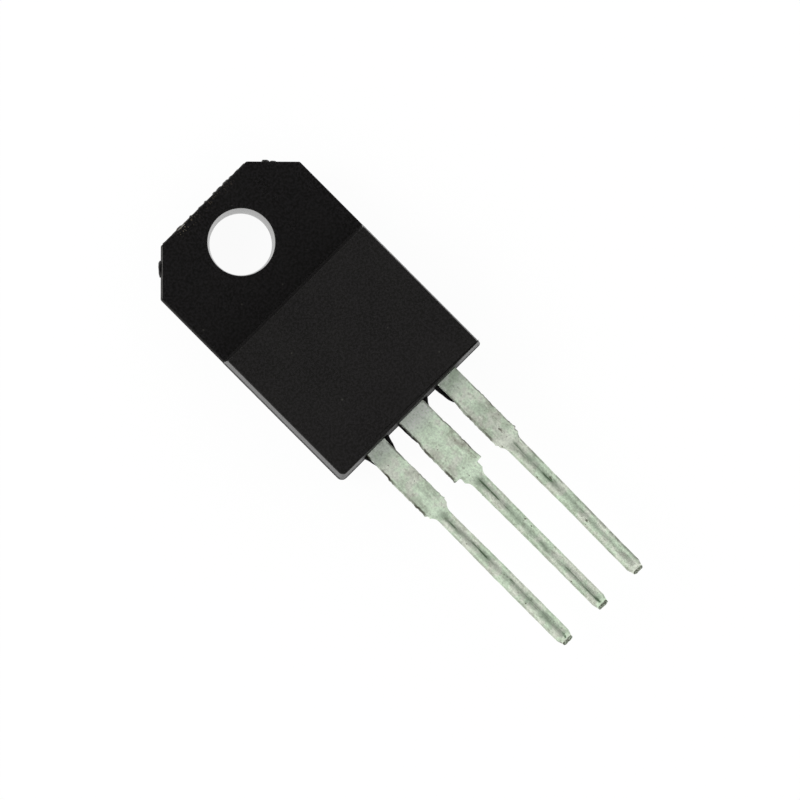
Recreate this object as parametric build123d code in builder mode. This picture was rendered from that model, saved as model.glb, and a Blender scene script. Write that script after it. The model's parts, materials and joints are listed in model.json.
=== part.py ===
from build123d import *
import os
from math import radians, sqrt, tan

# Schottky rectifier: two diodes with a common cathode in a fully moulded flat package.
#
# Millimetres. The origin is on the axis of the screw hole, in the flat back face. +Z leaves the front
# face, +Y runs to the end of the tab, and the three leads run towards -Y. The mould's parting plane is
# the front face of the tab, and the leads lie on it.

# ---- Moulded case ----
case_width = 10.0
case_length = 14.95
case_thickness = 4.57
tab_thickness = 2.65
block_length = 8.55
corner_cut = 1.92
hole_diameter = 3.43
hole_land_diameter = 3.2
hole_land_length = 1.0
hole_to_end = 2.74
front_draft = 5.0
back_draft = 3.0
front_edge_radius = 0.1
foot_radius_left = 0.28
foot_radius_right = 0.12
ejector_mark_diameter = 1.6
ejector_mark_depth = 0.06
ejector_mark_spacing = 6.2
ejector_mark_y = -9.4

# ---- Flash and gate remains on the parting plane ----
gate_scar_width = 3.8
gate_scar_height = 0.9
gate_scar_depth = 0.06
nub_height = 0.4
nub_lengths = {"left": 0.86, "right": 0.4}
nub_depth = 0.09
nub_place = 0.42

# ---- Leads ----
lead_pitch = 2.54
lead_thickness = 0.6
lead_length = 13.86
root_length = 1.35
outer_root_width = 1.27
outer_stub_width = 1.36
outer_shoulder_length = 4.23
centre_root_width = 1.68
centre_stub_width = 1.86
centre_shoulder_length = 4.07
neck_base_width = 1.2
neck_base_length = 4.46
neck_length = 0.34
narrow_width = 0.78
narrow_edge_radius = 0.17
stamped_edge_radius = 0.02
crown_blend_length = 0.5
neck_base_radius = 0.12
stub_corner_radius = 0.03
tip_width = 0.5
tip_thickness = 0.36
tip_edge_radius = 0.08
tip_length = 0.55

# ---- Copper die pad inside the case ----
pad_floor = 0.68
pad_thickness = 1.27
pad_width = 8.0
pad_foot_y = -9.85
pad_end_margin = 1.15
pad_corner_cut = 1.0
pad_notch_radius = 2.55
pad_waist_depth = 0.5
pad_waist_length = 1.2
pad_waist_y = -3.5
lock_groove_rows = [-4.35, -8.6]
lock_groove_width = 0.36
lock_groove_depth = 0.16
bend_angle = 45
bend_inner_radius = 0.25
bend_to_pad = 0.35

# ---- Bond pads of the outer leads ----
bond_pad_width = 2.5
bond_pad_length = 1.5
bond_pad_shift = 0.16
bond_pad_to_foot = 0.8
lock_hole_diameter = 0.6
lock_hole_to_foot = 0.62

# ---- Chips, solder and contact clips ----
die_size = 2.7
die_thickness = 0.26
die_x = 1.95
die_y = -6.3
solder_thickness = 0.06
solder_overhang = 0.08
clip_thickness = 0.25
clip_x = 2.3
clip_foot_width = 1.8
clip_foot_length = 1.8
clip_neck_width = 1.3
clip_end_width = 1.6
clip_end_length = 1.2
clip_bend_radius = 0.15
clip_corner_radius = 0.2
clip_vent_diameter = 0.6
clip_start_y = -5.35
clip_end_margin = 0.15

# ---- Worked out from the above ----
sides = {"left": -1, "right": 1}
case_foot_y = hole_to_end - case_length
step_y = case_foot_y + block_length
block_height = case_thickness - tab_thickness
lead_top_z = tab_thickness + lead_thickness
pad_top_z = pad_floor + pad_thickness
pad_end_y = hole_to_end - pad_end_margin
die_top_z = pad_top_z + solder_thickness + die_thickness
tip_y = case_foot_y - lead_length
outer_shoulder_y = case_foot_y - outer_shoulder_length
centre_shoulder_y = case_foot_y - centre_shoulder_length
neck_base_y = case_foot_y - neck_base_length
neck_y = neck_base_y - neck_length
bond_pad_y = case_foot_y + bond_pad_to_foot + bond_pad_length / 2
bond_pad_foot_y = bond_pad_y - bond_pad_length / 2
clip_low_z = die_top_z + solder_thickness
clip_high_z = lead_top_z + solder_thickness
clip_end_y = bond_pad_foot_y + clip_end_margin

# Flash beside the leads: lead centre, half width, side of the lead, width at the case, length
outer_root_half = outer_root_width / 2
centre_root_half = centre_root_width / 2
lead_flash = [
    (-lead_pitch, outer_root_half, -1, 0.18, 0.45),
    (-lead_pitch, outer_root_half, 1, 0.24, 0.8),
    (0, centre_root_half, -1, 0.08, 1.2),
    (0, centre_root_half, 1, 0.26, 0.5),
    (lead_pitch, outer_root_half, -1, 0.3, 1.15),
]
flash_root = 0.12

# Tolerances of the two selectors below: millimetres, and the upward share of an edge's direction
same_place = 1e-4
nearly_upright = 0.9


def lead_edge(root_width, stub_width, shoulder_y, inner_y):
    """Right-hand edge of a lead in its own plan, from its inner end down to the end of the neck."""
    flare = (stub_width - root_width) / 2
    return [
        (0, inner_y),
        (root_width / 2, inner_y),
        (root_width / 2, case_foot_y - root_length),
        (stub_width / 2, case_foot_y - root_length - flare),
        (stub_width / 2, shoulder_y),
        (neck_base_width / 2, shoulder_y),
        (neck_base_width / 2, neck_base_y),
        (narrow_width / 2, neck_y),
        (0, neck_y),
    ]


def corners_at(sketch, *places):
    """The corners of a sketch that lie at the given (x, y) places of its own plane."""
    return sketch.vertices().filter_by(
        lambda corner: any(
            abs(corner.X - x) < same_place and abs(corner.Y - y) < same_place for x, y in places
        )
    )


def uprights(part):
    """The edges of a part that stand nearly upright."""
    return part.edges().filter_by(lambda edge: abs(edge.tangent_at(0.5).Z) > nearly_upright)


def mirrored(x, y):
    """A place and its mirror image across the middle of a lead."""
    return (x, y), (-x, y)


# ---- Narrow part of each lead: crowned by its coat of solder, with a tapered, cut tip ----
lead_sections = [
    (neck_y, narrow_width, lead_thickness, stamped_edge_radius),
    (neck_y - crown_blend_length, narrow_width, lead_thickness, narrow_edge_radius),
    (tip_y + tip_length, narrow_width, lead_thickness, narrow_edge_radius),
    (tip_y, tip_width, tip_thickness, tip_edge_radius),
]
narrow_leads = {}
for place, lead_x in {"left": -lead_pitch, "centre": 0, "right": lead_pitch}.items():
    with BuildPart() as narrow_lead:
        for y, width, thickness, radius in lead_sections:
            middle = (lead_x, y, tab_thickness + lead_thickness / 2)
            with BuildSketch(Plane(middle, x_dir=(1, 0, 0), z_dir=(0, -1, 0))):
                RectangleRounded(width, thickness, radius)
        loft(ruled=True)
    narrow_leads[place] = narrow_lead.part

# ---- Copper pad and centre lead, one stamping ----
bend_shift = lead_thickness / 2 * tan(radians(bend_angle / 2))
bridge_floor = pad_top_z - lead_thickness
bend_rise = tab_thickness - bridge_floor
bend_low_y = pad_foot_y - bend_to_pad
bend_high_y = bend_low_y - bend_rise / tan(radians(bend_angle))

with BuildPart() as cathode_frame:
    # Side view: thick pad, bridge bent up to the lead plane, straight lead.
    with BuildSketch(Plane.YZ) as side_view:
        with BuildLine():
            Polyline(
                (pad_end_y, pad_floor),
                (pad_foot_y, pad_floor),
                (pad_foot_y, bridge_floor),
                (bend_low_y - bend_shift, bridge_floor),
                (bend_high_y - bend_shift, tab_thickness),
                (neck_y, tab_thickness),
                (neck_y, lead_top_z),
                (bend_high_y + bend_shift, lead_top_z),
                (bend_low_y + bend_shift, pad_top_z),
                (pad_end_y, pad_top_z),
                close=True,
            )
        make_face()
        inside = [(bend_low_y + bend_shift, pad_top_z), (bend_high_y - bend_shift, tab_thickness)]
        outside = [(bend_low_y - bend_shift, bridge_floor), (bend_high_y + bend_shift, lead_top_z)]
        fillet(corners_at(side_view, *inside), bend_inner_radius)
        fillet(corners_at(side_view, *outside), bend_inner_radius + lead_thickness)
    extrude(amount=pad_width / 2, both=True)

    # Front view: pad with its clearance round the screw hole, waist and lead, as stamped.
    with BuildSketch() as front_view:
        with BuildLine():
            Polyline(*lead_edge(centre_root_width, centre_stub_width, centre_shoulder_y, pad_foot_y))
            mirror(about=Plane.YZ)
        make_face()
        shoulders = mirrored(centre_stub_width / 2, centre_shoulder_y)
        fillet(corners_at(front_view, *shoulders), stub_corner_radius)
        fillet(corners_at(front_view, *mirrored(neck_base_width / 2, neck_base_y)), neck_base_radius)
        with BuildLine():
            Polyline(
                (0, pad_foot_y),
                (pad_width / 2, pad_foot_y),
                (pad_width / 2, pad_waist_y - pad_waist_length / 2),
                (pad_width / 2 - pad_waist_depth, pad_waist_y),
                (pad_width / 2, pad_waist_y + pad_waist_length / 2),
                (pad_width / 2, pad_end_y - pad_corner_cut),
                (pad_width / 2 - pad_corner_cut, pad_end_y),
                (0, pad_end_y),
            )
            mirror(about=Plane.YZ)
        make_face()
        Circle(pad_notch_radius, mode=Mode.SUBTRACT)
        Rectangle(
            pad_notch_radius, pad_end_y, align=(Align.CENTER, Align.MIN), mode=Mode.SUBTRACT
        )
    extrude(amount=case_thickness, mode=Mode.INTERSECT)

    # Grooves across the pad that key the epoxy.
    for groove_y in lock_groove_rows:
        with BuildSketch(Plane.YZ):
            with BuildLine():
                Polyline(
                    (groove_y - lock_groove_width / 2, pad_top_z),
                    (groove_y, pad_top_z - lock_groove_depth),
                    (groove_y + lock_groove_width / 2, pad_top_z),
                    close=True,
                )
            make_face()
        extrude(amount=pad_width, both=True, mode=Mode.SUBTRACT)

    add(narrow_leads["centre"])

cathode_frame.part.label = "cathode_frame"

# ---- Outer leads with their bond pads ----
anode_leads = {}
for side, sign in sides.items():
    with BuildPart() as anode_lead:
        with BuildSketch(Plane((sign * lead_pitch, 0, tab_thickness))) as front_view:
            with BuildLine():
                Polyline(*lead_edge(outer_root_width, outer_stub_width, outer_shoulder_y, bond_pad_y))
                mirror(about=Plane.YZ)
            make_face()
            shoulders = mirrored(outer_stub_width / 2, outer_shoulder_y)
            fillet(corners_at(front_view, *shoulders), stub_corner_radius)
            fillet(corners_at(front_view, *mirrored(neck_base_width / 2, neck_base_y)), neck_base_radius)
            with Locations((sign * bond_pad_shift, bond_pad_y)):
                Rectangle(bond_pad_width, bond_pad_length)
            with Locations((0, case_foot_y + lock_hole_to_foot)):
                Circle(lock_hole_diameter / 2, mode=Mode.SUBTRACT)
        extrude(amount=lead_thickness)
        add(narrow_leads[side])
    anode_lead.part.label = f"anode_lead_{side}"
    anode_leads[side] = anode_lead.part

# ---- Chips and the solder under them ----
dies = {}
die_solders = {}
for side, sign in sides.items():
    with BuildPart() as die_solder:
        with BuildSketch(Plane((sign * die_x, die_y, pad_top_z))):
            Rectangle(die_size + 2 * solder_overhang, die_size + 2 * solder_overhang)
        extrude(amount=solder_thickness)
    die_solder.part.label = f"die_solder_{side}"
    die_solders[side] = die_solder.part

    with BuildPart() as schottky_die:
        with BuildSketch(Plane((sign * die_x, die_y, pad_top_z + solder_thickness))):
            Rectangle(die_size, die_size)
        extrude(amount=die_thickness)
    schottky_die.part.label = f"schottky_die_{side}"
    dies[side] = schottky_die.part

# ---- Copper clips from each chip up to its lead ----
clip_bend_shift = clip_thickness * tan(radians(bend_angle / 2))
clip_rise_start_y = clip_start_y - clip_foot_length
clip_rise_end_y = clip_rise_start_y - (clip_high_z - clip_low_z) / tan(radians(bend_angle))
clips = {}
for side, sign in sides.items():
    with BuildPart() as contact_clip:
        # Side view: a flat foot on the chip, a slope, and a flat end over the bond pad.
        with BuildSketch(Plane.YZ) as side_view:
            with BuildLine():
                Polyline(
                    (clip_start_y, clip_low_z),
                    (clip_rise_start_y, clip_low_z),
                    (clip_rise_end_y, clip_high_z),
                    (clip_end_y, clip_high_z),
                    (clip_end_y, clip_high_z + clip_thickness),
                    (clip_rise_end_y + clip_bend_shift, clip_high_z + clip_thickness),
                    (clip_rise_start_y + clip_bend_shift, clip_low_z + clip_thickness),
                    (clip_start_y, clip_low_z + clip_thickness),
                    close=True,
                )
            make_face()
            inside = [
                (clip_rise_start_y + clip_bend_shift, clip_low_z + clip_thickness),
                (clip_rise_end_y, clip_high_z),
            ]
            outside = [
                (clip_rise_start_y, clip_low_z),
                (clip_rise_end_y + clip_bend_shift, clip_high_z + clip_thickness),
            ]
            fillet(corners_at(side_view, *inside), clip_bend_radius)
            fillet(corners_at(side_view, *outside), clip_bend_radius + clip_thickness)
        extrude(amount=case_width / 2, both=True)

        # Front view: wide foot with a vent hole, neck, and end.
        with BuildSketch(Plane((sign * clip_x, 0, 0))) as front_view:
            with BuildLine():
                Polyline(
                    (0, clip_start_y),
                    (clip_foot_width / 2, clip_start_y),
                    (clip_foot_width / 2, clip_rise_start_y),
                    (clip_neck_width / 2, clip_rise_start_y - clip_neck_width / 4),
                    (clip_neck_width / 2, clip_end_y + clip_end_length + clip_neck_width / 4),
                    (clip_end_width / 2, clip_end_y + clip_end_length),
                    (clip_end_width / 2, clip_end_y),
                    (0, clip_end_y),
                )
                mirror(about=Plane.YZ)
            make_face()
            foot_corners = mirrored(clip_foot_width / 2, clip_start_y)
            end_corners = mirrored(clip_end_width / 2, clip_end_y)
            fillet(corners_at(front_view, *foot_corners, *end_corners), clip_corner_radius)
            with Locations((0, clip_start_y - clip_foot_length / 2)):
                Circle(clip_vent_diameter / 2, mode=Mode.SUBTRACT)
        extrude(amount=case_thickness, mode=Mode.INTERSECT)
    contact_clip.part.label = f"contact_clip_{side}"
    clips[side] = contact_clip.part

# ---- Solder between each clip and its chip, and between each clip and its lead ----
clip_solders = []
for side, sign in sides.items():
    joints = {
        "chip": (clip_start_y - clip_foot_length / 2, die_top_z, clip_foot_width, clip_foot_length),
        "lead": (clip_end_y + clip_end_length / 2, lead_top_z, clip_end_width, clip_end_length),
    }
    for place, (joint_y, joint_z, joint_width, joint_length) in joints.items():
        with BuildPart() as clip_solder:
            with BuildSketch(Plane((sign * clip_x, joint_y, joint_z))):
                Rectangle(joint_width - 2 * clip_corner_radius, joint_length - 2 * clip_corner_radius)
            extrude(amount=solder_thickness)
        clip_solder.part.label = f"clip_to_{place}_solder_{side}"
        clip_solders.append(clip_solder.part)

inner_pieces = [
    cathode_frame.part,
    *anode_leads.values(),
    *die_solders.values(),
    *dies.values(),
    *clips.values(),
    *clip_solders,
]

# ---- Moulded case ----
back_inset = tab_thickness * tan(radians(back_draft))
front_inset = block_height * tan(radians(front_draft))

with BuildPart() as moulded_case:
    # Side view: both halves of the mould draw in from the parting plane, and the tab steps down.
    with BuildSketch(Plane.YZ):
        with BuildLine():
            Polyline(
                (case_foot_y + back_inset, 0),
                (hole_to_end - back_inset, 0),
                (hole_to_end, tab_thickness),
                (step_y, tab_thickness),
                (step_y - front_inset, case_thickness),
                (case_foot_y + front_inset, case_thickness),
                (case_foot_y, tab_thickness),
                close=True,
            )
        make_face()
    extrude(amount=case_width / 2, both=True)

    # End view: the same drafts on the two long sides.
    with BuildSketch(Plane.XZ):
        with BuildLine():
            Polyline(
                (0, 0),
                (case_width / 2 - back_inset, 0),
                (case_width / 2, tab_thickness),
                (case_width / 2 - front_inset, case_thickness),
                (0, case_thickness),
            )
            mirror(about=Plane.YZ)
        make_face()
    extrude(amount=case_length, both=True, mode=Mode.INTERSECT)

    # Cut corners of the tab, rounded corners at the lead end, and a small radius round the front.
    chamfer(uprights(moulded_case).group_by(Axis.Y)[-1], corner_cut)
    foot_corners = uprights(moulded_case).filter_by_position(Axis.Y, case_foot_y, step_y - block_height)
    fillet(foot_corners.filter_by_position(Axis.X, -case_width, 0), foot_radius_left)
    fillet(foot_corners.filter_by_position(Axis.X, 0, case_width), foot_radius_right)
    fillet(moulded_case.faces().sort_by(Axis.Z)[-1].edges(), front_edge_radius)

    # Scar of the gate, where the epoxy was fed in, across the end of the tab.
    with BuildSketch(Plane.XY.offset(tab_thickness - gate_scar_height)):
        with Locations((0, hole_to_end)):
            Rectangle(gate_scar_width, 2 * gate_scar_depth)
    extrude(amount=gate_scar_height)

    # Broken nubs of flash on the two cut corners.
    for side, sign in sides.items():
        along = Vector(sign, -1, 0).normalized()
        corner = Vector(sign * (case_width / 2 - corner_cut), hole_to_end, tab_thickness - nub_height)
        middle = corner + along * (nub_place * corner_cut * sqrt(2))
        with BuildSketch(Plane(middle, x_dir=along, z_dir=(0, 0, 1))):
            Rectangle(nub_lengths[side], 2 * nub_depth)
        extrude(amount=nub_height)

    # Wedges of flash left in the angle between the case and the leads, as thick as the leads.
    for lead_x, half_width, sign, width, length in lead_flash:
        edge_x = lead_x + sign * half_width
        with BuildSketch(Plane.XY.offset(tab_thickness)):
            with BuildLine():
                Polyline(
                    (edge_x, case_foot_y + flash_root),
                    (edge_x + sign * width, case_foot_y + flash_root),
                    (edge_x + sign * width, case_foot_y),
                    (edge_x, case_foot_y - length),
                    close=True,
                )
            make_face()
        extrude(amount=lead_thickness)

    # Marks of the ejector pins in the back face.
    with BuildSketch():
        with Locations(
            (-ejector_mark_spacing / 2, ejector_mark_y), (ejector_mark_spacing / 2, ejector_mark_y)
        ):
            Circle(ejector_mark_diameter / 2)
    extrude(amount=ejector_mark_depth, mode=Mode.SUBTRACT)

    # Screw hole: a straight land at the back, then it widens to the front face of the tab.
    Hole(hole_land_diameter / 2)
    with Locations((0, 0, hole_land_length)):
        Cone(
            hole_land_diameter / 2,
            hole_diameter / 2,
            tab_thickness - hole_land_length,
            align=(Align.CENTER, Align.CENTER, Align.MIN),
            mode=Mode.SUBTRACT,
        )

    for inner_piece in inner_pieces:
        add(inner_piece, mode=Mode.SUBTRACT)

moulded_case.part.label = "moulded_case"

# ---- One file for each piece ----
os.makedirs("parts", exist_ok=True)
for piece in [moulded_case.part, *inner_pieces]:
    export_step(piece, f"parts/{piece.label}.step")
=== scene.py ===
import json
import math
from contextlib import contextmanager

import bmesh
import bpy
import numpy as np
from bpy.props import FloatProperty, FloatVectorProperty, IntProperty, PointerProperty
from mathutils import Matrix, Vector, noise


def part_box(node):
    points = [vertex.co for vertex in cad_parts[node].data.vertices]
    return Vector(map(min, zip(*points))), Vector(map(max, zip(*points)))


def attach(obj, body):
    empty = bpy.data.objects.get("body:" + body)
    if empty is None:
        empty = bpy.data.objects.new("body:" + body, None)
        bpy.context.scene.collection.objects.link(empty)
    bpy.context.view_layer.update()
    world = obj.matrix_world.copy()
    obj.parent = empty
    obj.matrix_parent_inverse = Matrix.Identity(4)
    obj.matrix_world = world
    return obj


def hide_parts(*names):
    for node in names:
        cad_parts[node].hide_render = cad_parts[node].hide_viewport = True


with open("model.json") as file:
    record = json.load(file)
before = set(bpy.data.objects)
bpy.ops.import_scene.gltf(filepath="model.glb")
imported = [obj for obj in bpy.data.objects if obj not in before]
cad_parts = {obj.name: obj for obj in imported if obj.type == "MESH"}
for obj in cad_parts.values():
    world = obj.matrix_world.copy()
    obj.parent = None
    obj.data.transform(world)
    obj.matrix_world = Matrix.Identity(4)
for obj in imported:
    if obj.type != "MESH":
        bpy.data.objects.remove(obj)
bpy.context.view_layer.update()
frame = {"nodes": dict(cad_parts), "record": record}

bl_info = {
    "name": "Moulded Rectifier Dresser",
    "version": (1, 0, 0),
    "blender": (4, 5, 0),
    "location": "View3D > Sidebar > Rectifier",
    "description": "Builds the finished surfaces of a three-lead moulded rectifier over its packed frame",
    "category": "Object",
}

# The origin is on the axis of the screw hole, in the flat back face. +Z leaves the front face, +Y runs to
# the end of the tab, and the three leads run towards -Y.

MM = 0.001
_, CASE_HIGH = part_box("moulded_case")
LEAD_LOW, LEAD_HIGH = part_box("anode_lead_right")
HOLE = next(mount for mount in frame["record"]["mounts"] if mount["name"] == "screw_hole")
HOLE_SIDES = 96
# The two shallow ejector marks in the back face
MARK_PLACES = ((-3.1 * MM, -9.4 * MM), (3.1 * MM, -9.4 * MM))
MARK_RADIUS = 0.8 * MM
MARK_DEPTH = 0.06 * MM
MARK_SIDES = 48
# A corner of the case is an arc of this many points, in steps of so many degrees
CORNER_POINTS = 7
CORNER_STEP = 15
# How far inside the case the solid's own mesh takes over from a dressed lead
INNER_START = 0.3 * MM
# Points round a lead, and millimetres between its sections
SECTION_SIDES = 72
SECTION_SPACING = 0.04
# Points round a rough bar of flash, and the seed of the noise that shakes them
BAR_SIDES = 10
NOISE_SEED = 7
# The attributes that a lead's coat reads, in the order in which lead_mesh lists them
MASKS = ("sheared", "cut_end", "rooted", "streak", "tarnished", "clean")
# What sets each lead apart. Lengths are in millimetres, pairs are the left and the right side, and sets of
# three run from near the neck, over halfway, to near the tip.
#   node, place      the solid that it dresses, and its place in pitches
#   narrow           the widths at both ends of its narrow part
#   burrs            how far the burrs on its shoulders stand out
#   edges            how dark its stamped edges and the painted shade beside them are on the wide part, and narrow_edges on the narrow part
#   streak, drift    how strong the painted dark reflection down its crest is, which also sets how flat its section is, and how far it lies to the right
#   tarnish, clean   the tarnish beside the edges of its wide part, and how clean the coat stays there
#   bend             how far its free end is bent sideways
LEADS = {
    "left": {
        "node": "anode_lead_left", "place": -1, "narrow": (0.765, 0.835), "burrs": (0.025, 0.05),
        "edges": (1.1, 0.8), "narrow_edges": (0.3, 0.2), "streak": (1.0, 0.35, 1.0),
        "drift": (0.0, 0.2, 0.05), "tarnish": (0.28, 0.3), "clean": 0.45, "bend": 0, "seed": 11,
    },
    "centre": {
        "node": "cathode_frame", "place": 0, "narrow": (0.83, 0.78), "burrs": (0.03, 0.02),
        "edges": (0.9, 1.7), "narrow_edges": (0.25, 0.25), "streak": (1.0, 0.4, 0.95),
        "drift": (0.0, -0.13, -0.07), "tarnish": (0.35, 0.62), "clean": 1.0, "bend": 0, "seed": 23,
    },
    "right": {
        "node": "anode_lead_right", "place": 1, "narrow": (0.885, 0.81), "burrs": (0.01, 0.05),
        "edges": (0.75, 0.95), "narrow_edges": (0.25, 0.6), "streak": (1.35, 0.3, 0.1),
        "drift": (0.0, 0.2, 0.0), "tarnish": (0.36, 0.34), "clean": 0.15, "bend": -0.035, "seed": 37,
    },
}


# ---- Sizes and colours that a user would change ----
def metres(name, description, default, **more):
    return FloatProperty(name=name, description=description, default=default, unit="LENGTH", **more)


def fine_metres(name, description, default):
    """A length that the panel shows down to a thousandth of a millimetre."""
    return metres(name, description, default, precision=6)


def degrees(name, description, default):
    return FloatProperty(name=name, description=description, default=math.radians(default), subtype="ANGLE")


def tint(name, description, default):
    return FloatVectorProperty(
        name=name, description=description, default=default, subtype="COLOR", size=3, min=0, max=1
    )


class CaseSettings(bpy.types.PropertyGroup):
    parting_height: metres("Parting height", "Height of the parting plane and of the tab", LEAD_LOW.z)
    foot_y: metres("Foot", "Place of the lead end of the case", -0.01221)
    end_y: metres("Tab end", "Place of the end of the tab", 0.00274)
    step_y: metres("Step", "Place of the step between block and tab", -0.00366)
    corner_cut: metres("Cut corners", "Size of the two cut corners of the tab", 0.00192)
    front_draft: degrees("Front draft", "Draft of the walls in front of the parting plane", 5)
    back_draft: degrees("Back draft", "Draft of the walls behind the parting plane", 3)
    hole_diameter: metres("Hole", "Diameter of the screw hole at the front", 0.00343)
    front_radius: metres("Edge rounding", "Largest rounding of the case's edges", 0.00018)
    left_foot_radius: metres("Left foot corner", "Radius of the corner beside the left lead", 0.00028)
    right_foot_radius: metres("Right foot corner", "Radius of the corner beside the right lead", 0.00012)
    flash_height: fine_metres("Parting flash", "How far the line of flash stands out", 0.000016)
    epoxy: tint("Epoxy", "Colour of the moulding epoxy", (0.0034, 0.0031, 0.0035))
    epoxy_fleck: tint("Filler flecks", "Colour of the flecks of filler", (0.016, 0.0155, 0.0135))
    gate_brown: tint("Gate residue", "Colour of the resin dust at the gate", (0.022, 0.015, 0.009))
    gate_pale: tint(
        "Pale gate residue", "Colour of the resin dust at the left end of the gate", (0.10, 0.085, 0.055)
    )
    gate_scratch: tint(
        "Gate scratches", "Colour of the pale scratches along the left end of the gate", (0.25, 0.24, 0.215)
    )
    grain_size: fine_metres("Grain", "Size of the matte grain of the block", 0.00012)


class LeadSettings(bpy.types.PropertyGroup):
    pitch: metres("Pitch", "Distance between neighbouring leads", 0.00254)
    root_length: metres("Root", "Smooth length next to the case", 0.00135)
    outer_shoulder: metres(
        "Outer shoulder", "Distance of an outer lead's shoulders from the case", 0.00423
    )
    centre_shoulder: metres(
        "Centre shoulder", "Distance of the centre lead's shoulders from the case", 0.00407
    )
    neck_base_width: metres("Neck base width", "Width of a lead below its shoulders", 0.0012)
    neck_base_length: metres("Neck base", "Distance from the case to where the neck draws in", 0.00446)
    neck_length: metres("Neck length", "Length over which the neck draws in", 0.00034)
    outer_root_width: metres("Outer root width", "Width of an outer lead at the case", 0.00127)
    outer_stub_width: metres("Outer stub width", "Width of an outer lead at its shoulders", 0.00133)
    centre_root_width: metres("Centre root width", "Width of the centre lead at the case", 0.00172)
    centre_stub_width: metres("Centre stub width", "Width of the centre lead at its shoulders", 0.00183)
    tip_thickness: metres("Tip thickness", "Thickness at the cut end of a lead", 0.00036)
    cut_slope: fine_metres("Cut slope", "How far the cut end leans back", 0.00019)
    tip_width: metres("Tip width", "Width of the cut end", 0.00061)
    tip_length: metres("Tip length", "Length of the taper at the end", 0.00046)
    tin: tint("Tin", "Colour of the solder coat", (0.725, 0.86, 0.68))
    tin_grey: tint("Grey tin", "Colour of the greyer patches of the tin coat", (0.76, 0.775, 0.69))
    # Colour of the painted dark reflection of the dim overhead down the crest of the narrow part
    crest_reflection_grey: tint("Streak", "Colour of the dull streak down the narrow part", (0.125, 0.19, 0.115))
    root_grey: tint("Root grey", "Colour of the smooth tin next to the case", (0.85, 0.92, 0.82))
    # The tarnish colour also serves for painted shade along the lead edges and on the narrow part's flanks
    tarnish: tint("Tarnish", "Colour of the tarnish in hollows and along the edges", (0.17, 0.16, 0.11))
    copper: tint("Copper", "Colour of bare stamped copper", (0.62, 0.30, 0.17))
    speck_count: IntProperty(
        name="Specks", description="Specks of flux for each 10 square millimetres", default=6, min=0
    )


class StageSettings(bpy.types.PropertyGroup):
    floor_colour: tint("Floor", "Colour of the floor", (0.96, 0.96, 0.955))
    floor_radius: metres("Floor radius", "Radius of the floor", 1.5)
    zenith: FloatProperty(
        name="Overhead", description="Brightness of the open top of the light tent", default=0.10
    )
    dome: FloatProperty(name="Tent", description="Brightness of the tent's walls", default=1.12)
    lens: FloatProperty(name="Lens", description="Focal length in millimetres", default=266.76)
    distance: metres("Distance", "Distance from the camera to its target", 0.3)
    target: FloatVectorProperty(
        name="Target", description="Point that the camera looks at", subtype="TRANSLATION", size=3,
        default=(0.000032, -0.011338, 0.00295), precision=6,
    )
    tilt_across: degrees("Tilt across", "Lean of the camera towards the left side of the part", -2.98)
    tilt_along: degrees("Tilt along", "Lean of the camera towards the tab", -0.42)
    roll: degrees("Roll", "Turn of the camera about its own axis", 44.888)


# ---- Nodes ----
def is_socket(value):
    return isinstance(value, bpy.types.NodeSocket)


def shade(tone, factor):
    """A lighter or darker colour."""
    return [value * factor for value in tone]


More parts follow.
